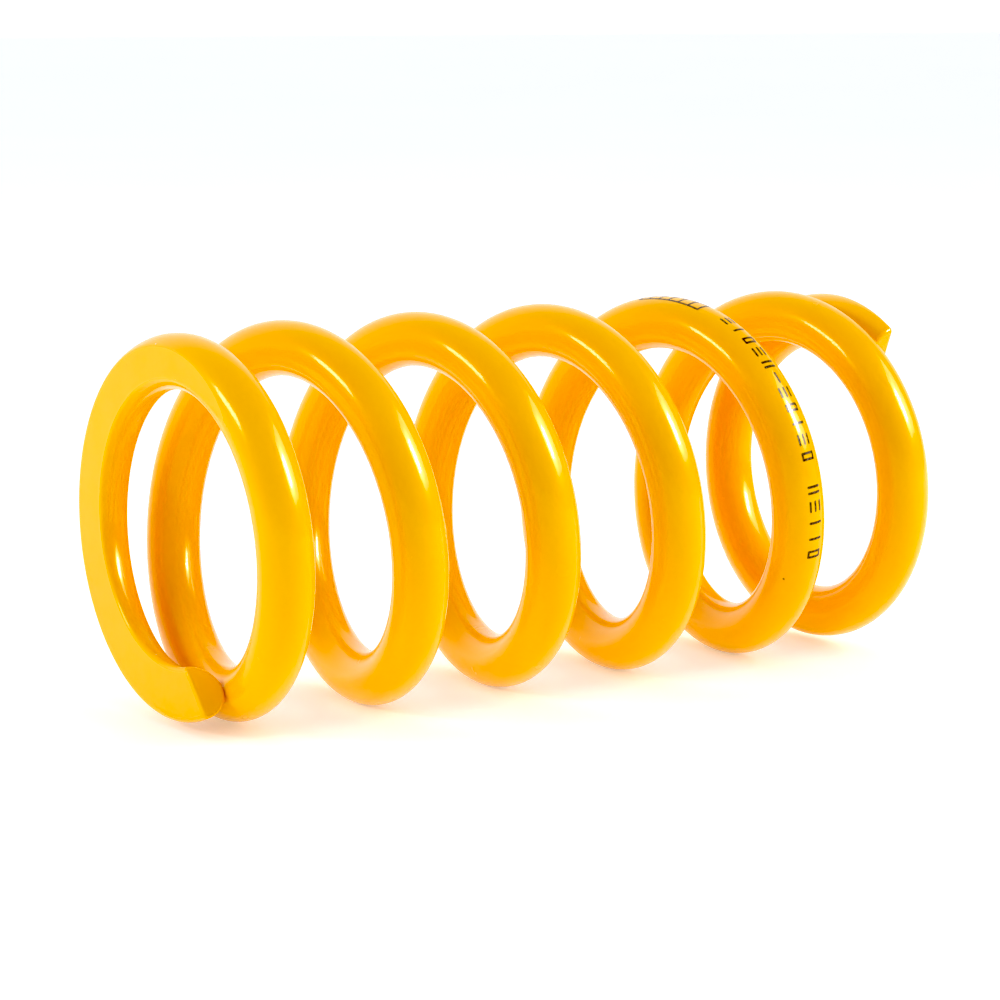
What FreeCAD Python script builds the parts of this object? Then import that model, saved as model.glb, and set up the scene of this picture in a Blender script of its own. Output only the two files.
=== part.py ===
import FreeCAD, Part
import math
import os

# A closed-and-ground compression spring: one steel bar wound into a right-hand helix, lying on its
# side. The winding axis is +X, +Z is up, and the origin is the centre of the front seat, which is
# the plane of the front ground end. Millimetres.
#
# A place along the bar is counted in turns from the front tip. The bar is divided where it bends:
# each end turn is closed down on its own tip and ground flat, so it moves as one piece, and the
# open turns between them are short lengths that each shift a little along the axis as the spring
# is squeezed.

# Driving dimensions
BAR_DIAMETER = 10.9
MEAN_DIAMETER = 66.9
TOTAL_TURNS = 6.65
PITCH = 31.0  # advance per turn of the open coils
FRONT_TIP_ANGLE = -109.0  # degrees, from +Y towards +Z

# The end turns, measured from either tip
TIP_RISE = 0.05  # centre of the bar above the seat plane, at the tip
END_PITCH = 7.91  # advance per turn while the bar is still closed
OPENING_STARTS = 0.57  # turns from the tip where the pitch starts to grow
OPENING_ENDS = 1.17  # turns from the tip where the full pitch is reached
END_RADIUS_LOSS = 1.6  # the end turn is wound this much tighter at its tip
END_RADIUS_TURNS = 1.6  # turns over which the radius recovers
FRONT_CUT_SKEW = 22.6  # degrees the tip's cut leans off the radius, leaving the outer side longer
FRONT_CUT_TILT = 18.0  # degrees it leans off the axis, leaving the side away from the seat longer
REAR_CUT_SKEW = -13.1
REAR_CUT_TILT = 8.6
GROUND_TURNS = 0.80  # length of the piece that holds the whole ground face

# The open turns, between the two closed ends
OPEN_STARTS = 1.16  # turns from either tip where the closed end turn hands over
ACTIVE_WIRES = 26  # half of them ride on each end, and the two that meet in the middle are half as long
CLEARANCE = 0.1  # between neighbouring lengths of bar that shift against each other

# Modelling values
POINTS_PER_TURN = 48
TIP_OVERRUN = 0.04  # turns that the bar is made too long before its tip is cut
CUTTER = 400.0

BAR_RADIUS = BAR_DIAMETER / 2
MEAN_RADIUS = MEAN_DIAMETER / 2
MIDDLE = TOTAL_TURNS / 2
WIRE_TURNS = (TOTAL_TURNS - 2 * OPEN_STARTS) / (ACTIVE_WIRES - 1)  # length of a whole active wire
AXIS = FreeCAD.Vector(1, 0, 0)


def smooth(t):
    """A ramp from 0 to 1 that starts and ends level."""
    t = min(max(t, 0.0), 1.0)
    return t * t * (3 - 2 * t)


def smooth_area(t):
    """The area under smooth() from 0 to t."""
    inside = min(max(t, 0.0), 1.0)
    return inside**3 - inside**4 / 2 + max(t - 1, 0.0)


def rise(turns):
    """Height of the bar's centre above the nearer seat, this many turns from its tip."""
    span = OPENING_ENDS - OPENING_STARTS
    opened = span * smooth_area((turns - OPENING_STARTS) / span)
    return TIP_RISE + END_PITCH * turns + (PITCH - END_PITCH) * opened


FREE_LENGTH = 2 * rise(MIDDLE)


def slope(turns):
    """Advance per turn at this place along the bar."""
    from_tip = min(turns, TOTAL_TURNS - turns)
    ramp = smooth((from_tip - OPENING_STARTS) / (OPENING_ENDS - OPENING_STARTS))
    return END_PITCH + (PITCH - END_PITCH) * ramp


def place(turns):
    """(distance along the axis, winding radius, angle in degrees) of the bar's centre."""
    from_tip = min(turns, TOTAL_TURNS - turns)
    along = rise(turns) if turns < MIDDLE else FREE_LENGTH - rise(TOTAL_TURNS - turns)
    radius = MEAN_RADIUS - END_RADIUS_LOSS * (1 - smooth(from_tip / END_RADIUS_TURNS))
    return along, radius, FRONT_TIP_ANGLE + 360 * turns


def outward(angle):
    return FreeCAD.Vector(0, math.cos(math.radians(angle)), math.sin(math.radians(angle)))


def centre(turns):
    along, radius, angle = place(turns)
    return AXIS * along + outward(angle) * radius


def section(turns):
    """The bar's outline where a plane through the winding axis cuts it."""
    _, radius, angle = place(turns)
    stretch = math.hypot(slope(turns), 2 * math.pi * radius) / (2 * math.pi * radius)
    if stretch * BAR_RADIUS - BAR_RADIUS < 1e-4:
        return Part.Wire(Part.Circle(centre(turns), AXIS.cross(outward(angle)), BAR_RADIUS).toShape())
    major = centre(turns) + AXIS * (stretch * BAR_RADIUS)
    minor = centre(turns) + outward(angle) * BAR_RADIUS
    return Part.Wire(Part.Ellipse(major, minor, centre(turns)).toShape())


def bar(start, end):
    """The round bar from one place to another, as a solid."""
    count = max(int(round((end - start) * POINTS_PER_TURN)), 6)
    points = [centre(start + (end - start) * i / count) for i in range(count + 1)]
    line = Part.BSplineCurve()
    line.interpolate(points)
    sweep = Part.BRepOffsetAPI.MakePipeShell(Part.Wire(line.toShape()))
    sweep.setBiNormalMode(AXIS)
    sweep.add(section(start))
    sweep.add(section(end))
    sweep.build()
    sweep.makeSolid()
    return sweep.shape()


def beyond_seat(at_front):
    """A block that covers everything past a seat plane, for grinding an end flat."""
    block = Part.makeBox(CUTTER, CUTTER, CUTTER, FreeCAD.Vector(-CUTTER, -CUTTER / 2, -CUTTER / 2))
    if not at_front:
        block.translate(AXIS * (FREE_LENGTH + CUTTER))
    return block


def beyond_tip(at_front):
    """A block past a tip's cut, which leans off the radius and off the axis."""
    turns = 0 if at_front else TOTAL_TURNS
    skew = math.radians(FRONT_CUT_SKEW if at_front else REAR_CUT_SKEW)
    tilt = math.radians(FRONT_CUT_TILT if at_front else REAR_CUT_TILT)
    radial = outward(place(turns)[2])
    off_seat = AXIS if at_front else -AXIS
    onward = radial.cross(off_seat)
    facing = onward - radial * math.tan(skew) - off_seat * math.tan(tilt)
    side = BAR_DIAMETER * 2
    block = Part.makeBox(2 * side, 2 * side, side, FreeCAD.Vector(-side, -side, 0))
    block.Placement = FreeCAD.Placement(centre(turns), FreeCAD.Rotation(FreeCAD.Vector(0, 0, 1), facing))
    return block


def ground_turn(at_front):
    """A closed end turn, cut off at its tip and ground flat on its seat."""
    if at_front:
        solid = bar(-TIP_OVERRUN, GROUND_TURNS)
    else:
        solid = bar(TOTAL_TURNS - GROUND_TURNS, TOTAL_TURNS + TIP_OVERRUN)
    return solid.cut(beyond_tip(at_front)).cut(beyond_seat(at_front))


def trimmed_bar(start, end):
    """A length of bar that stops half a clearance short of its neighbours."""
    short = CLEARANCE / 2 / (math.pi * MEAN_DIAMETER)
    return bar(start + short, end - short)


def wire_ends():
    """Where the active wires begin and end, from the front closed turn to the rear one."""
    from_each_end = [OPEN_STARTS + number * WIRE_TURNS for number in range(ACTIVE_WIRES // 2)]
    return from_each_end + [MIDDLE] + [TOTAL_TURNS - turns for turns in reversed(from_each_end)]


def all_parts():
    parts = {
        "front_ground_turn": ground_turn(True),
        "front_closing_wire": bar(GROUND_TURNS, OPEN_STARTS),
        "rear_closing_wire": bar(TOTAL_TURNS - OPEN_STARTS, TOTAL_TURNS - GROUND_TURNS),
        "rear_ground_turn": ground_turn(False),
    }
    ends = wire_ends()
    for number, (start, end) in enumerate(zip(ends, ends[1:]), 1):
        parts[f"active_wire_{number:02d}"] = trimmed_bar(start, end)
    return parts


os.makedirs("parts", exist_ok=True)
for name, shape in all_parts().items():
    solid = shape.Solids[0]
    assert len(shape.Solids) == 1 and solid.isValid(), name
    solid.exportStep(f"parts/{name}.step")
print("free length", round(FREE_LENGTH, 4))
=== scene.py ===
import math

import bpy
import numpy as np
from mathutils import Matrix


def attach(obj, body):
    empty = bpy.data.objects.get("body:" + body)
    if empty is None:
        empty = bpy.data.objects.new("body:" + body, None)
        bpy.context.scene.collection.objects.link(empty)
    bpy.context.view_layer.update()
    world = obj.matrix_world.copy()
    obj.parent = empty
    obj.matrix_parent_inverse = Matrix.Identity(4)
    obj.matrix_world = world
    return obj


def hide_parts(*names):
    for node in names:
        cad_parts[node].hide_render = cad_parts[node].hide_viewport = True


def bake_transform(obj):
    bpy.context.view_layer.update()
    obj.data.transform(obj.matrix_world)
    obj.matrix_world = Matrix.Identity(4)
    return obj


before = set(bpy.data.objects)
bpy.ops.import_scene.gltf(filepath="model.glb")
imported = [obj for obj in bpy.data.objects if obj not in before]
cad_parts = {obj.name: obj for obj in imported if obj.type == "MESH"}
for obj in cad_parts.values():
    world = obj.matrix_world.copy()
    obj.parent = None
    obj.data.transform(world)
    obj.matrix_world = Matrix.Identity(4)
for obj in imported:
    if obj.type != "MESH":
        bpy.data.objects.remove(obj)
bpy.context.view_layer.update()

# A closed-and-ground coil spring, lying on its side on a pale floor. The CAD lengths of bar are
# replaced by one smooth skin that follows the same winding law, cut into pieces: each end turn, and
# between them pieces that run from the middle of one length of bar to the middle of the next. Metres,
# and turns counted along the bar from the front tip.

MM = 0.001

# The winding law, as in the CAD
BAR_RADIUS = 5.45 * MM
MEAN_RADIUS = 33.45 * MM
TOTAL_TURNS = 6.65
MIDDLE = TOTAL_TURNS / 2
PITCH = 31.0 * MM
FRONT_TIP_ANGLE = math.radians(-109.0)
TIP_RISE = 0.05 * MM
END_PITCH = 7.91 * MM
OPENING_STARTS = 0.57
OPENING_ENDS = 1.17
END_RADIUS_LOSS = 1.6 * MM
END_RADIUS_TURNS = 1.6
# how far each tip's cut leans off the radius and off the axis
FRONT_CUT = math.radians(22.6), math.radians(18.0)
REAR_CUT = math.radians(-13.1), math.radians(8.6)
ACTIVE_WIRES = 26
OPEN_STARTS = 1.16
WIRE_TURNS = (TOTAL_TURNS - 2 * OPEN_STARTS) / (ACTIVE_WIRES - 1)

# The skin
END_TURNS = 1.0  # length of each end piece, which doesn't bend
GROUND_EDGE = 0.9 * MM  # radius of the rounded edge of the ground face
TIP_EDGE = 0.7 * MM  # radius of the rounded edge of the tip's cut
EDGE_ROWS = 6
END_ROWS = 190
END_AROUND = 192
ROW_GROWTH = 1.15  # how much wider apart the rows of an end turn stand further from the tip
OPEN_ROWS = 24
OPEN_AROUND = 96
CROWD = 5.0  # how much closer the points stand at the ground edges
CROWD_WIDTH = 0.16  # radians round the section
CROWD_FADES = 0.7, 0.95  # turns between which the crowding dies away
WORN_REACH = 0.5 * MM  # how far the worn coat reaches past a ground edge
WORN_TIP_REACH = 0.6 * MM
TIP_FADE = 0.05  # turns over which the rows turn from the slanted cut to the square section
CUT_FACE_RINGS = (0.28, 0.55, 0.8, 0.93)  # size of each ring on the face of the cut
CUT_FACE_WEAR = (0.0, 0.0, 0.1, 0.6)  # how worn the coat is at each ring
TURN_LENGTH = 2 * math.pi * MEAN_RADIUS
UP_AXIS = np.array([1.0, 0.0, 0.0])


def smooth(t):
    t = np.clip(t, 0.0, 1.0)
    return t * t * (3 - 2 * t)


def smooth_area(t):
    inside = np.clip(t, 0.0, 1.0)
    return inside**3 - inside**4 / 2 + np.maximum(t - 1, 0.0)


def rise(turns):
    span = OPENING_ENDS - OPENING_STARTS
    opened = span * smooth_area((turns - OPENING_STARTS) / span)
    return TIP_RISE + END_PITCH * turns + (PITCH - END_PITCH) * opened


FREE_LENGTH = 2 * rise(MIDDLE)


def bar_centre(turns):
    from_tip = np.minimum(turns, TOTAL_TURNS - turns)
    along = np.where(turns < MIDDLE, rise(turns), FREE_LENGTH - rise(TOTAL_TURNS - turns))
    radius = MEAN_RADIUS - END_RADIUS_LOSS * (1 - smooth(from_tip / END_RADIUS_TURNS))
    angle = FRONT_TIP_ANGLE + 2 * math.pi * turns
    return np.stack([along, radius * np.cos(angle), radius * np.sin(angle)], -1)


def unit(v):
    return v / np.linalg.norm(v, axis=-1, keepdims=True)


def dot(a, b):
    return (a * b).sum(-1, keepdims=True)


def bar_axes(turns):
    """Directions at a place on the bar: along it, out from the winding axis, and along that axis."""
    step = 1e-4
    ahead = unit(bar_centre(turns + step) - bar_centre(turns - step))
    up = unit(UP_AXIS - ahead * ahead[..., :1])
    return ahead, np.cross(ahead, up), up


def ground_edge(height):
    """Centre of the rounded ground edge in the section, and the middle of what grinding leaves,
    for a bar whose centre is at this height above the plane it is ground to."""
    kept = np.minimum(height, BAR_RADIUS)
    edge_up = GROUND_EDGE - kept
    edge_out = np.sqrt(np.maximum((BAR_RADIUS - GROUND_EDGE) ** 2 - edge_up**2, 0.0))
    return edge_out, edge_up, (BAR_RADIUS - kept) / 2


def ground_outline(height, direction):
    """The section of a ground bar, seen from the middle of what is left, in a direction measured
    from outward. Returns the point and the normal as (outward, up), how worn the coat is there for
    being near a ground edge, and whether the point is on the ground face."""
    edge_out, edge_up, middle = ground_edge(height)
    toward_out, toward_up = np.cos(direction), np.sin(direction)
    side = np.where(toward_out < 0, -1.0, 1.0)
    slant = np.arctan2(toward_up, np.abs(toward_out))
    # where the rounded edge meets the round bar and the plane
    scale = BAR_RADIUS / (BAR_RADIUS - GROUND_EDGE)
    meets_bar = np.arctan2(edge_up * scale - middle, edge_out * scale)
    meets_plane = np.arctan2(-np.minimum(height, BAR_RADIUS) - middle, edge_out)
    ground = height < BAR_RADIUS
    on_edge = ground & (slant < meets_bar) & (slant > meets_plane)
    on_plane = ground & (slant <= meets_plane)
    lean = middle * toward_up
    reach_bar = -lean + np.sqrt(BAR_RADIUS**2 - middle**2 + lean**2)
    reach_plane = (middle + height) / np.maximum(-toward_up, 1e-6)
    lean = edge_out * np.abs(toward_out) + (edge_up - middle) * toward_up
    reach_edge = edge_out**2 + (edge_up - middle) ** 2 - GROUND_EDGE**2
    reach_edge = lean + np.sqrt(np.maximum(lean**2 - reach_edge, 0.0))
    reach = np.where(on_plane, reach_plane, np.where(on_edge, reach_edge, reach_bar))
    out, up = reach * toward_out, middle + reach * toward_up
    from_edge = np.stack([out - side * edge_out, up - edge_up], -1)
    flat = np.stack([out, up], -1)
    normal = np.where(on_edge[..., None], from_edge / GROUND_EDGE, flat / BAR_RADIUS)
    normal = np.where(on_plane[..., None], np.array([0.0, -1.0]), normal)
    gap = np.linalg.norm(from_edge, axis=-1) - GROUND_EDGE
    worn = np.where(ground, np.exp(-((gap / WORN_REACH) ** 2)), 0.0)
    return flat, unit(normal), worn, on_plane.astype(float)


def section_point(turns, direction):
    """A point of the front closed turn, with its normal within the section."""
    ahead, outward, up = bar_axes(turns)
    centre = bar_centre(turns)
    flat, normal, worn, ground = ground_outline(centre[..., 0] / up[..., 0], direction)
    place = centre + outward * flat[..., :1] + up * flat[..., 1:]
    return place, outward * normal[..., :1] + up * normal[..., 1:], ahead, worn, ground


def end_surface(turns, direction):
    """Points of the front closed turn, ground to the seat plane, with their true normals."""
    place, normal, ahead, worn, ground = section_point(turns, direction)
    step = 2e-4
    along = section_point(turns + step, direction)[0] - section_point(turns - step, direction)[0]
    normal = unit(normal - ahead * dot(normal, along) / dot(ahead, along))
    return place, normal, worn, ground


def around_ground(turns):
    """Directions round the section for each row, crowded where the ground edges are."""
    fine = np.linspace(math.pi / 2, 2.5 * math.pi, 2049)
    shares = np.arange(END_AROUND) / END_AROUND
    starts, ends = CROWD_FADES
    rows = []
    for at in turns:
        edge_out, edge_up, middle = ground_edge(bar_centre(at)[0])
        corner = math.atan2(edge_up - middle, edge_out)
        crowd = CROWD * (1 - smooth((at - starts) / (ends - starts)))
        density = np.ones(len(fine))
        for edge in (2 * math.pi + corner, math.pi - corner):
            density += crowd * np.exp(-(((fine - edge) / CROWD_WIDTH) ** 2))
        total = np.concatenate([[0.0], np.cumsum((density[1:] + density[:-1]) / 2)])
        rows.append(np.interp(shares, total / total[-1], fine))
    return np.array(rows)


def across(row):
    """Direction along a closed row of points, whatever their spacing."""
    back = row - np.roll(row, 1, axis=-2)
    forward = np.roll(row, -1, axis=-2) - row
    back_length = np.linalg.norm(back, axis=-1, keepdims=True)
    forward_length = np.linalg.norm(forward, axis=-1, keepdims=True)
    return unit(back / back_length * forward_length + forward / forward_length * back_length)


class Skin:
    """A grid of rows round the bar: where each point is, its normal, how worn the coat is there, and
    whether it is on the ground face. An end turn starts on the face of its tip's cut."""

    def __init__(self, points, normals, worn, ground, has_tip=False):
        self.points, self.normals = points, normals
        self.worn, self.ground, self.has_tip = worn, ground, has_tip


def rounded_edge(side, outline, on_cut, toward):
    """Rows of points and normals that round the edge from the face of the cut to the bar's side."""
    corner_weight = math.sqrt(0.5)
    points, normals = [], []
    for row in range(EDGE_ROWS):
        t = 1 - row / EDGE_ROWS  # 1 on the cut's face and 0 on the bar's side
        a, b, c = (1 - t) ** 2, 2 * corner_weight * t * (1 - t), t * t
        point = (a * side + b * outline + c * on_cut) / (a + b + c)
        da, db, dc = -2 * (1 - t), 2 * corner_weight * (1 - 2 * t), 2 * t
        slope = (da * side + db * outline + dc * on_cut) - point * (da + db + dc)
        normal = unit(np.cross(across(point), slope))
        points.append(point)
        normals.append(normal * np.sign(dot(normal, toward)))
    return points, normals


def end_turn(cut):
    """A closed end turn, as it is at the front, from the cut of its tip to the first piece of open bar."""
    # the cut is a plane, skewed to leave the outer side longer and tilted to leave the side off the
    # seat longer
    skew, tilt = cut
    tip = bar_centre(np.array(0.0))
    radial = np.array([0.0, math.cos(FRONT_TIP_ANGLE), math.sin(FRONT_TIP_ANGLE)])
    facing = np.cross(radial, UP_AXIS) - radial * math.tan(skew) - UP_AXIS * math.tan(tilt)
    cut_normal = unit(facing)
    start = END_TURNS * (np.arange(END_ROWS) / (END_ROWS - 1)) ** ROW_GROWTH
    direction = around_ground(start)
    # where each line along the bar meets the cut
    meets = np.zeros(END_AROUND)
    for _ in range(12):
        place = section_point(meets, direction[0])[0]
        meets += ((place - tip) @ cut_normal) / TURN_LENGTH
    rounding = TIP_EDGE / (2 * math.pi * (MEAN_RADIUS - END_RADIUS_LOSS))
    at = start[:, None] + (meets[None] + rounding) * (1 - smooth(start[:, None] / TIP_FADE))
    points, normals, worn, ground = end_surface(at, direction)
    # the cut's outline, the rounded edge inside it, and rings that close on the middle of its face
    outline = section_point(meets, direction[0])[0]
    middle = outline.mean(0)
    inward = np.cross(across(outline), cut_normal)
    inward *= np.sign(dot(inward, middle - outline))
    on_cut = outline + inward * TIP_EDGE
    edge_points, edge_normals = rounded_edge(points[0], outline, on_cut, normals[0] + cut_normal)
    edge_normals[0][:] = cut_normal
    face = [middle + (on_cut - middle) * share for share in CUT_FACE_RINGS]
    face_normals = [np.broadcast_to(cut_normal, on_cut.shape)] * len(face)
    near_tip = np.exp(-((start * TURN_LENGTH / WORN_TIP_REACH) ** 2))
    face_worn = np.outer([*CUT_FACE_WEAR, *[1.0] * EDGE_ROWS], np.ones(END_AROUND))
    return Skin(
        np.concatenate([face, edge_points, points]),
        np.concatenate([face_normals, edge_normals, normals]),
        np.concatenate([face_worn, np.maximum(worn, near_tip[:, None])]),
        np.concatenate([np.zeros(face_worn.shape), ground]),
        has_tip=True,
    )


def turned_end_for_end(skin):
    """The same turn at the rear: half a turn about a line across the middle of the spring."""
    double = 2 * FRONT_TIP_ANGLE + 2 * math.pi * TOTAL_TURNS
    turn = np.array([
        [-1.0, 0.0, 0.0],
        [0.0, math.cos(double), math.sin(double)],
        [0.0, math.sin(double), -math.cos(double)],
    ])
    points = skin.points @ turn.T + UP_AXIS * FREE_LENGTH
    return Skin(points, skin.normals @ turn.T, skin.worn, skin.ground, skin.has_tip)


def open_length(start, end):
    """The round bar between two places."""
    at = np.linspace(start, end, OPEN_ROWS + 1)[:, None] * np.ones(OPEN_AROUND)
    direction = math.pi / 2 + 2 * math.pi * np.arange(OPEN_AROUND) / OPEN_AROUND * np.ones(at.shape)
    _, outward, up = bar_axes(at)
    normals = outward * np.cos(direction)[..., None] + up * np.sin(direction)[..., None]
    none = np.zeros(at.shape)
    return Skin(bar_centre(at) + BAR_RADIUS * normals, normals, none, none)


def make_mesh(name, points, faces, corner_normals, material):
    mesh = bpy.data.meshes.new(name)
    mesh.from_pydata(points.tolist(), [], faces)
    mesh.polygons.foreach_set("use_smooth", [True] * len(faces))
    mesh.materials.append(material)
    mesh.normals_split_custom_set(corner_normals)
    # the materials' patterns are read from the points' places as built
    rest = mesh.attributes.new("rest", "FLOAT_VECTOR", "POINT")
    rest.data.foreach_set("vector", points.astype(np.float32).ravel())
    obj = bpy.data.objects.new(name, mesh)
    bpy.context.scene.collection.objects.link(obj)
    return obj


def skin_object(name, skin, material):
    """A closed mesh from a skin: its rows, and a fan or one flat face at each end."""
    rows, count = skin.points.shape[:2]
    points, normals = skin.points.reshape(-1, 3), skin.normals.reshape(-1, 3)
    number = np.arange(rows * count).reshape(rows, count)
    after = np.roll(number, -1, axis=1)
    quads = np.stack([number[:-1], after[:-1], after[1:], number[1:]], -1).reshape(-1, 4)
    a, b, c = points[quads[0, :3]]
    first, last = number[0].tolist(), number[-1].tolist()
    if np.dot(np.cross(b - a, c - b), normals[quads[0, 0]]) < 0:
        quads = quads[:, ::-1]
        last.reverse()
    else:
        first.reverse()
    faces = quads.tolist()
    corner_normals = normals[quads.ravel()].tolist()
    if skin.has_tip:
        points = np.vstack([points, points[first].mean(0)])
        hub = len(points) - 1
        faces += [[first[k], first[(k + 1) % count], hub] for k in range(count)]
        corner_normals += [normals[0].tolist()] * (3 * count)
    for ring in (last,) if skin.has_tip else (first, last):
        start, second, third = points[[ring[0], ring[1], ring[count // 3]]]
        faces.append(ring)
        corner_normals += [unit(np.cross(second - start, third - start)).tolist()] * count
    obj = make_mesh(name, points, faces, corner_normals, material)
    for label, values in (("edge", skin.worn), ("ground", skin.ground)):
        all_values = np.zeros(len(points), np.float32)
        all_values[: rows * count] = values.ravel()
        obj.data.attributes.new(label, "FLOAT", "POINT").data.foreach_set("value", all_values)
    return obj


# ---------------------------------------------------------------- materials

# Colours are linear red, green, blue and alpha
COAT_DEEP = (0.94, 0.472, 0.0, 1.0)
COAT_LIGHT = (0.95, 0.488, 0.0, 1.0)
COAT_MOTTLE = (0.84, 0.36, 0.0, 1.0)
COAT_GLINT = (1.0, 0.85, 0.3, 1.0)
PIT = (0.16, 0.055, 0.006, 1.0)
PRIMER = (0.93, 0.80, 0.58, 1.0)
INK_THICK = (0.06, 0.035, 0.014, 1.0)
INK_THIN = (0.16, 0.085, 0.02, 1.0)
PAPER_DEEP = (0.90, 0.90, 0.905, 1.0)
PAPER_LIGHT = (0.92, 0.92, 0.925, 1.0)
PAPER_GLOW = (0.84, 0.93, 1.0, 1.0)
WHITE = (1.0, 1.0, 1.0, 1.0)

# How high the texture of the coat stands, and how its parts compare with the orange peel
RELIEF = 0.006 * MM
ARC_HEIGHT = 0.35
CHIP_DEPTH = 3.0
PIT_DEPTH = 4.0
# How much rougher the coat is there
GROUND_ROUGHER = 0.16
PIT_ROUGHER = 0.4


class Nodes:
    """Short ways to add nodes to a material's or the world's node tree."""

    def __init__(self, owner):
        owner.use_nodes = True
        self.nodes, self.links = owner.node_tree.nodes, owner.node_tree.links

    def find(self, kind):
        return next(node for node in self.nodes if node.type == kind)

    def put(self, value, socket):
        """Link an output to a socket, or set the socket to a number or a colour."""
        if isinstance(value, (int, float, tuple)):
            socket.default_value = value
        else:
            self.links.new(value, socket)

    def attribute(self, name, output):
        node = self.nodes.new("ShaderNodeAttribute")
        node.attribute_name = name
        return node.outputs[output]

    def noise(self, place, scale, detail, roughness=0.5):
        node = self.nodes.new("ShaderNodeTexNoise")
        node.inputs["Scale"].default_value = scale
        node.inputs["Detail"].default_value = detail
        node.inputs["Roughness"].default_value = roughness
        self.put(place, node.inputs["Vector"])
        return node.outputs[0]

    def ramp(self, value, start, end, low=0.0, high=1.0):
        """Go smoothly from low to high while value goes from start to end."""
        node = self.nodes.new("ShaderNodeMapRange")
        node.interpolation_type = "SMOOTHSTEP"
        limits = {"From Min": start, "From Max": end, "To Min": low, "To Max": high}
        for label, number in limits.items():
            node.inputs[label].default_value = number
        self.put(value, node.inputs["Value"])
        return node.outputs["Result"]

    def math(self, operation, a, b):
        node = self.nodes.new("ShaderNodeMath")
        node.operation = operation
        self.put(a, node.inputs[0])
        self.put(b, node.inputs[1])
        return node.outputs[0]

    def mix(self, share, a, b):
        """Colour a where share is 0, and b where it is 1."""
        node = self.nodes.new("ShaderNodeMix")
        node.data_type = "RGBA"
        self.put(share, node.inputs["Factor"])
        for label, value in (("A", a), ("B", b)):
            socket = next(s for s in node.inputs if s.name == label and s.type == "RGBA")
            self.put(value, socket)
        return next(s for s in node.outputs if s.type == "RGBA")


def new_material(name):
    material = bpy.data.materials.new(name)
    tree = Nodes(material)
    return material, tree, tree.find("BSDF_PRINCIPLED")


def pits(tree, rest):
    """Small round pits and specks, one in some cells of a coarse pattern."""
    cells = tree.nodes.new("ShaderNodeTexVoronoi")
    cells.inputs["Scale"].default_value = 85.0
    tree.put(rest, cells.inputs["Vector"])
    near = tree.ramp(cells.outputs["Distance"], 0.014, 0.026, low=1.0, high=0.0)
    draw = tree.nodes.new("ShaderNodeSeparateColor")
    tree.put(cells.outputs["Color"], draw.inputs[0])
    return tree.math("MULTIPLY", near, tree.ramp(draw.outputs[0], 0.62, 0.64))


def edge_chips(tree, rest):
    """Chips where the coat is worn on the edges, through to a pale primer."""
    ragged = tree.ramp(tree.noise(rest, scale=520.0, detail=4.0, roughness=0.65), 0.70, 0.74)
    return tree.math("MULTIPLY", ragged, tree.ramp(tree.attribute("edge", "Fac"), 0.45, 0.9))


def grinding_arcs(tree, rest):
    """Fine circles about the winding axis, from the distance to it."""
    flatten = tree.nodes.new("ShaderNodeVectorMath")
    flatten.operation = "MULTIPLY"
    flatten.inputs[1].default_value = (0.0, 1.0, 1.0)
    tree.put(rest, flatten.inputs[0])
    radius = tree.nodes.new("ShaderNodeVectorMath")
    radius.operation = "LENGTH"
    tree.put(flatten.outputs[0], radius.inputs[0])
    lines = tree.nodes.new("ShaderNodeTexNoise")
    lines.noise_dimensions = "1D"
    lines.inputs["Scale"].default_value = 2600.0
    lines.inputs["Detail"].default_value = 3.0
    tree.put(radius.outputs["Value"], lines.inputs["W"])
    return lines.outputs[0]


def powder_coat():
    """Gloss yellow-orange powder coat: faint orange peel and mottling, a few pits and specks, coat
    chipped on the edges of the ground faces and tips, and the grinding marks of those faces."""
    material, tree, shader = new_material("powder_coat")
    rest = tree.attribute("rest", "Vector")
    ground = tree.attribute("ground", "Fac")
    specks, chips = pits(tree, rest), edge_chips(tree, rest)

    broad = tree.ramp(tree.noise(rest, scale=45.0, detail=3.0), 0.3, 0.7)
    mottle = tree.ramp(tree.noise(rest, scale=1300.0, detail=2.0), 0.35, 0.75, high=0.05)
    colour = tree.mix(broad, COAT_DEEP, COAT_LIGHT)
    colour = tree.mix(mottle, colour, COAT_MOTTLE)
    colour = tree.mix(specks, colour, PIT)
    colour = tree.mix(chips, colour, PRIMER)
    tree.put(colour, shader.inputs["Base Color"])

    # a clear sharp gloss over a softer one, duller on the ground faces and in the pits
    rough = tree.ramp(tree.noise(rest, scale=160.0, detail=3.0), 0.3, 0.8, low=0.21, high=0.28)
    rough = tree.math("ADD", rough, tree.math("MULTIPLY", ground, GROUND_ROUGHER))
    rough = tree.math("ADD", rough, tree.math("MULTIPLY", specks, PIT_ROUGHER))
    tree.put(rough, shader.inputs["Roughness"])
    shader.inputs["IOR"].default_value = 1.5
    shader.inputs["Specular Tint"].default_value = COAT_GLINT
    shader.inputs["Coat Weight"].default_value = 0.3
    shader.inputs["Coat Roughness"].default_value = 0.06

    # orange peel and grinding arcs, less what the chips and pits have lost
    peel = tree.noise(rest, scale=520.0, detail=2.0, roughness=0.4)
    arcs = tree.math("MULTIPLY", grinding_arcs(tree, rest), ground)
    height = tree.math("ADD", peel, tree.math("MULTIPLY", arcs, ARC_HEIGHT))
    height = tree.math("SUBTRACT", height, tree.math("MULTIPLY", chips, CHIP_DEPTH))
    height = tree.math("SUBTRACT", height, tree.math("MULTIPLY", specks, PIT_DEPTH))
    bump = tree.nodes.new("ShaderNodeBump")
    bump.inputs["Strength"].default_value = 1.0
    bump.inputs["Distance"].default_value = RELIEF
    tree.put(height, bump.inputs["Height"])
    tree.put(bump.outputs["Normal"], shader.inputs["Normal"])
    return material


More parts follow.
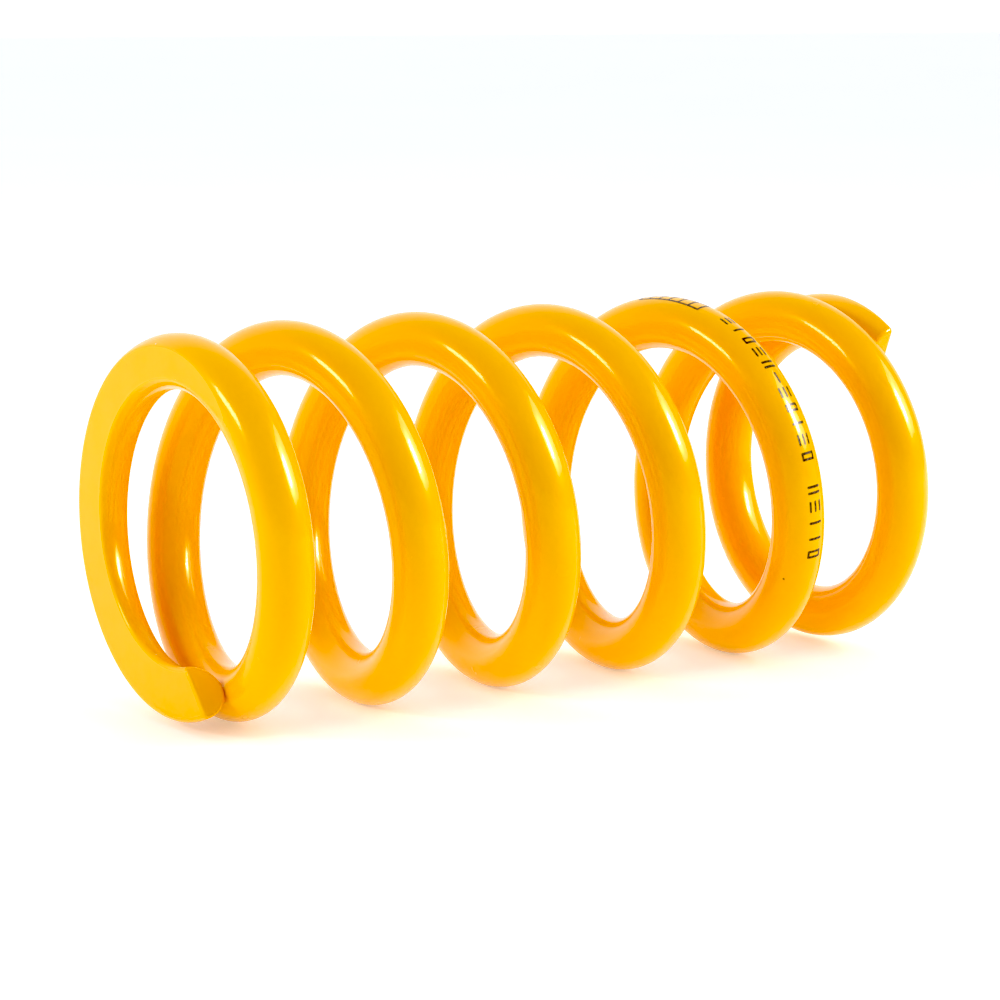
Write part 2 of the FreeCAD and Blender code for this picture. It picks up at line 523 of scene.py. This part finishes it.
def printing_ink():
    """Dark brown-black ink, thin enough that its density wavers."""
    material, tree, shader = new_material("printing_ink")
    rest = tree.attribute("rest", "Vector")
    thin = tree.ramp(tree.noise(rest, scale=1500.0, detail=3.0), 0.3, 0.75)
    tree.put(tree.mix(thin, INK_THICK, INK_THIN), shader.inputs["Base Color"])
    tree.put(tree.ramp(thin, 0.0, 1.0, low=0.22, high=0.34), shader.inputs["Roughness"])
    return material


def floor_paper():
    """White paper that glows a little, so that it stays white in the picture."""
    material, tree, shader = new_material("floor_paper")
    place = tree.nodes.new("ShaderNodeTexCoord").outputs["Object"]
    tone = tree.ramp(tree.noise(place, scale=3.0, detail=2.0), 0.3, 0.7)
    tree.put(tree.mix(tone, PAPER_DEEP, PAPER_LIGHT), shader.inputs["Base Color"])
    shader.inputs["Roughness"].default_value = 0.75
    shader.inputs["Specular IOR Level"].default_value = 0.2
    shader.inputs["Emission Color"].default_value = PAPER_GLOW
    shader.inputs["Emission Strength"].default_value = 0.3
    return material


coat, ink, paper = powder_coat(), printing_ink(), floor_paper()

# ---------------------------------------------------------------- the spring

front_piece = skin_object("bar_front_turn", end_turn(FRONT_CUT), coat)
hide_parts("front_ground_turn", "front_closing_wire")
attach(front_piece, "front_end")

rear_piece = skin_object("bar_rear_turn", turned_end_for_end(end_turn(REAR_CUT)), coat)
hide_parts("rear_ground_turn", "rear_closing_wire")
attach(rear_piece, "rear_end")

# The bar between the end turns, from the middle of one length of bar to the middle of the next.
half = ACTIVE_WIRES // 2
wire_middles = [OPEN_STARTS + (number + 0.5) * WIRE_TURNS for number in range(half - 1)]
front_cuts = [END_TURNS, *wire_middles, MIDDLE]
cuts = front_cuts + [TOTAL_TURNS - cut for cut in reversed(front_cuts[:-1])]
wires = [f"active_wire_{number:02d}" for number in range(1, ACTIVE_WIRES + 1)]


def bend(obj):
    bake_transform(obj)


for number, wire in enumerate(wires):
    length = open_length(cuts[number], cuts[number + 1])
    piece = skin_object(f"bar_length_{number + 1:02d}", length, coat)
    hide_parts(wire)
    bend(piece)

# ---------------------------------------------------------------- the print on the fifth coil

INK_WIDTH = 0.46 * MM
INK_PROUD = 0.015 * MM
INK_DEPTH = 0.10 * MM  # how far the solid strokes are sunk into the bar
INK_STEP = 0.12 * MM
FIRST_NOSE_ANGLE = 0.15  # radians, of the blunt tip of a stroke's rounded nose
NOSE_STEPS = 3
PRINT_START = 4.617  # turns
PRINT_LEAN = math.radians(3.0)  # middle of the row, from outward towards the rear seat
CELL = 3.0 * MM  # from one mark to the next
TALL = 1.35 * MM  # half the height of a mark
# plain ticks, dashes and boxes, as strokes between (along, around) ends in units of TALL
TICK = [((0, -1), (0, 1))]
TWIN = [((-0.4, -1), (-0.4, 1)), ((0.4, -1), (0.4, 1))]
DASH = [((-0.7, 0), (0.7, 0))]
RULES = [((-0.6, level), (0.6, level)) for level in (-0.9, 0, 0.9)]
GAP = []
BOX = TWIN + [((-0.4, -1), (0.4, -1)), ((-0.4, 1), (0.4, 1))]
ROW = [RULES, TICK, BOX, RULES, TWIN, DASH, RULES, BOX, TICK, RULES, BOX, GAP, TWIN, RULES, TICK, TICK, BOX]
# the ruled box before the row
HEADER_START = 4.524  # turns
HEADER_LENGTH = 15.0 * MM
HEADER_LOW = math.radians(-22.0)
HEADER_HIGH = math.radians(16.0)
HEADER_TICKS = 7


def stroke_grid(start, end):
    """Four points at each station of a stroke with rounded ends: its two sides on top, and then
    underneath. start and end are (along the bar, round the bar) in metres."""
    start, end = np.array(start), np.array(end)
    length = np.linalg.norm(end - start)
    way = (end - start) / length
    side = np.array([-way[1], way[0]])
    half_width = INK_WIDTH / 2
    inner = np.linspace(0.0, length, max(int(length / INK_STEP), 4))
    nose = half_width * np.sin(np.linspace(FIRST_NOSE_ANGLE, math.pi / 2, NOSE_STEPS + 1))[:-1]
    stations = np.concatenate([-nose[::-1], inner, length + nose])
    over = np.maximum(np.maximum(-stations, stations - length), 0.0)
    width = np.sqrt(half_width**2 - over**2)
    middle = start + stations[:, None] * way
    corners = []
    for sign, proud in ((1, INK_PROUD), (-1, INK_PROUD), (-1, -INK_DEPTH), (1, -INK_DEPTH)):
        place = middle + sign * width[:, None] * side
        at, direction = place[:, 0] / TURN_LENGTH, place[:, 1] / BAR_RADIUS
        _, outward, up = bar_axes(at)
        out = outward * np.cos(direction)[:, None] + up * np.sin(direction)[:, None]
        corners.append(bar_centre(at) + out * (BAR_RADIUS + proud))
    return np.stack(corners, 1)


def ink_object(name, strokes):
    """Closed ink strokes, each a box that follows the curve of the bar."""
    grids = [stroke_grid(start, end) for start, end in strokes]
    faces, corner_normals, base = [], [], 0
    for grid in grids:
        last = base + 4 * (len(grid) - 1)
        for row in range(base, last, 4):
            for k in range(4):
                a, b = row + k, row + (k + 1) % 4
                faces.append([a, b, b + 4, a + 4])
        faces.append([base + 3, base + 2, base + 1, base])
        faces.append([last, last + 1, last + 2, last + 3])
        base = last + 4
    points = np.concatenate(grids).reshape(-1, 3)
    for face in faces:
        corners = points[face]
        normal = unit(np.cross(corners[1] - corners[0], corners[2] - corners[1]))
        corner_normals += [normal.tolist()] * len(face)
    return make_mesh(name, points, faces, corner_normals, ink)


def cut_at_seams(start, end):
    """The stroke in parts that each lie on one piece of the bar, with that piece's number. A short
    stroke stays whole, on the piece that holds its middle."""
    seams = [cut * TURN_LENGTH for cut in cuts]
    spans = list(enumerate(zip(seams, seams[1:])))
    if end[0] - start[0] < CELL:
        middle = (start[0] + end[0]) / 2
        return [(number, start, end) for number, (low, high) in spans if low <= middle < high]
    parts = [(number, max(start[0], low), min(end[0], high)) for number, (low, high) in spans]
    return [(number, (a, start[1]), (b, end[1])) for number, a, b in parts if b > a]


def print_strokes():
    """Every stroke of the row of marks and of the ruled box before it."""
    level = PRINT_LEAN * BAR_RADIUS
    for number, mark in enumerate(ROW):
        middle = PRINT_START * TURN_LENGTH + (number + 0.5) * CELL
        for ends in mark:
            yield [(middle + along * TALL, level + around * TALL) for along, around in ends]
    start = HEADER_START * TURN_LENGTH
    low, high = HEADER_LOW * BAR_RADIUS, HEADER_HIGH * BAR_RADIUS
    for edge in (low, high):
        yield [(start, edge), (start + HEADER_LENGTH, edge)]
    for tick in range(HEADER_TICKS):
        at = start + HEADER_LENGTH * tick / (HEADER_TICKS - 1)
        yield [(at, low), (at, high)]


by_piece = {}
for start, end in print_strokes():
    for number, a, b in cut_at_seams(start, end):
        by_piece.setdefault(number, []).append((a, b))
for count, (number, strokes) in enumerate(sorted(by_piece.items()), 1):
    bend(ink_object(f"ink_print_{count}", strokes))

# ---------------------------------------------------------------- floor, light and camera

FLOOR_REACH = 14.0
# the room is FRONT_STRENGTH bright where a direction points less than BACK_START towards +Y, and
# BACK_STRENGTH bright from BACK_FULL on
BACK_START, BACK_FULL = -0.2, 0.75
FRONT_STRENGTH, BACK_STRENGTH = 0.45, 1.1
CAMERA_PLACE = -0.29456, -0.54205, 0.09900
CAMERA_YAW = math.radians(-34.479)
CAMERA_DOWN = math.radians(8.629)
SENSOR_WIDTH, FOCAL_LENGTH = 36.0, 116.54  # Blender's camera takes these in millimetres
EXPOSURE = 0.14
BLACK_LEVEL = 0.08

floor_height = -(MEAN_RADIUS + BAR_RADIUS)
corners = [(x * FLOOR_REACH, y * FLOOR_REACH, floor_height) for x, y in ((-1, -1), (1, -1), (1, 1), (-1, 1))]
floor_mesh = bpy.data.meshes.new("floor")
floor_mesh.from_pydata(corners, [], [(0, 1, 2, 3)])
floor_mesh.materials.append(paper)
floor = bpy.data.objects.new("floor", floor_mesh)
bpy.context.scene.collection.objects.link(floor)


def softbox(name, azimuth, elevation, distance, width, height, radiance):
    """An area light facing the spring's middle. Azimuth 0 is towards -Y and 90 towards +X."""
    a, e = math.radians(azimuth), math.radians(elevation)
    away = np.array([math.sin(a) * math.cos(e), -math.cos(a) * math.cos(e), math.sin(e)])
    light = bpy.data.lights.new(name, "AREA")
    light.shape = "RECTANGLE"
    light.size, light.size_y = width, height
    light.energy = radiance * math.pi * width * height
    obj = bpy.data.objects.new(name, light)
    obj.location = UP_AXIS * FREE_LENGTH / 2 + away * distance
    obj.rotation_euler = (math.pi / 2 - e, 0.0, a)
    bpy.context.scene.collection.objects.link(obj)
    return obj


softbox("key", 50.0, 33.0, distance=1.35, width=0.8, height=0.85, radiance=4.4)
# the hot middle of the key light shows in reflections only
core = softbox("key_core", 38.0, 32.0, distance=1.3, width=0.25, height=0.36, radiance=80.0)
core.visible_diffuse = False
softbox("left", -106.0, 25.0, distance=1.1, width=0.36, height=0.15, radiance=16.0)

# a white room behind the spring and a darker one on the camera's side
world = bpy.data.worlds.new("studio")
bpy.context.scene.world = world
sky = Nodes(world)
direction = sky.nodes.new("ShaderNodeTexCoord").outputs["Generated"]
split = sky.nodes.new("ShaderNodeSeparateXYZ")
sky.put(direction, split.inputs[0])
strength = sky.ramp(split.outputs["Y"], BACK_START, BACK_FULL, low=FRONT_STRENGTH, high=BACK_STRENGTH)
background = sky.find("BACKGROUND")
sky.put(strength, background.inputs["Strength"])
background.inputs["Color"].default_value = WHITE

camera_data = bpy.data.cameras.new("camera")
camera_data.sensor_width = SENSOR_WIDTH
camera_data.lens = FOCAL_LENGTH
camera_data.clip_start, camera_data.clip_end = 0.02, 60.0
camera = bpy.data.objects.new("camera", camera_data)
camera.location = CAMERA_PLACE
camera.rotation_euler = (math.pi / 2 - CAMERA_DOWN, 0.0, CAMERA_YAW)
bpy.context.scene.collection.objects.link(camera)
bpy.context.scene.camera = camera

# the picture's tones: no film curve, and deep tones a little deeper
view = bpy.context.scene.view_settings
view.view_transform = "Standard"
view.exposure = EXPOSURE
view.use_curve_mapping = True
view.curve_mapping.black_level = (BLACK_LEVEL,) * 3
view.curve_mapping.update()
